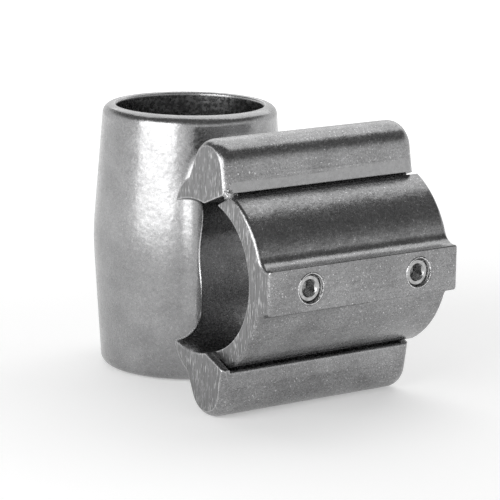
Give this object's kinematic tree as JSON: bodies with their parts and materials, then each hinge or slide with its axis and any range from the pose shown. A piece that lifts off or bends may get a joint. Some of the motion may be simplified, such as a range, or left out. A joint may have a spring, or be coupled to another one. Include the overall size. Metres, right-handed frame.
{
  "type": "cross pipe clamp",
  "caption": "Cast aluminium cross clamp: a closed socket for an upright pipe joined to an offset saddle whose slide-in cap grips a crossing pipe, locked by socket set screws.",
  "frame": {"origin": "centre of the upright bore, at the middle of its height", "axes": "+Z along the upright bore, +X along the crossing bore towards the end the cap slides out of, -Y from the upright bore towards the cap"},
  "size_m": [0.0797, 0.1268, 0.0894],
  "materials": {
    "cast_aluminium": "tumbled satin casting with ground end faces",
    "screw_steel": "bright steel"
  },
  "bodies": {
    "casting": {"base_casting": "cast_aluminium"},
    "cap": {"clamp_cap": "cast_aluminium"},
    "set_screw_front_left": {"set_screw_front_left": "screw_steel"},
    "set_screw_front_right": {"set_screw_front_right": "screw_steel"},
    "set_screw_rear_upper": {"set_screw_rear_upper": "screw_steel"},
    "set_screw_rear_lower": {"set_screw_rear_lower": "screw_steel"}
  },
  "joints": [
    {"name": "cap_slide", "type": "slide", "parent": "casting", "child": "cap", "axis": [1, 0, 0], "range_m": [-0.0007, 0.06]},
    {"name": "set_screw_front_left_travel", "type": "slide", "parent": "cap", "child": "set_screw_front_left", "axis": [0, -1, 0], "range_m": [-0.002, 0.0106]},
    {"name": "set_screw_front_right_travel", "type": "slide", "parent": "cap", "child": "set_screw_front_right", "axis": [0, -1, 0], "range_m": [-0.002, 0.0106]},
    {"name": "set_screw_rear_upper_travel", "type": "slide", "parent": "casting", "child": "set_screw_rear_upper", "axis": [0, 1, 0], "range_m": [-0.002, 0.0106]},
    {"name": "set_screw_rear_lower_travel", "type": "slide", "parent": "casting", "child": "set_screw_rear_lower", "axis": [0, 1, 0], "range_m": [-0.002, 0.0106]}
  ]
}
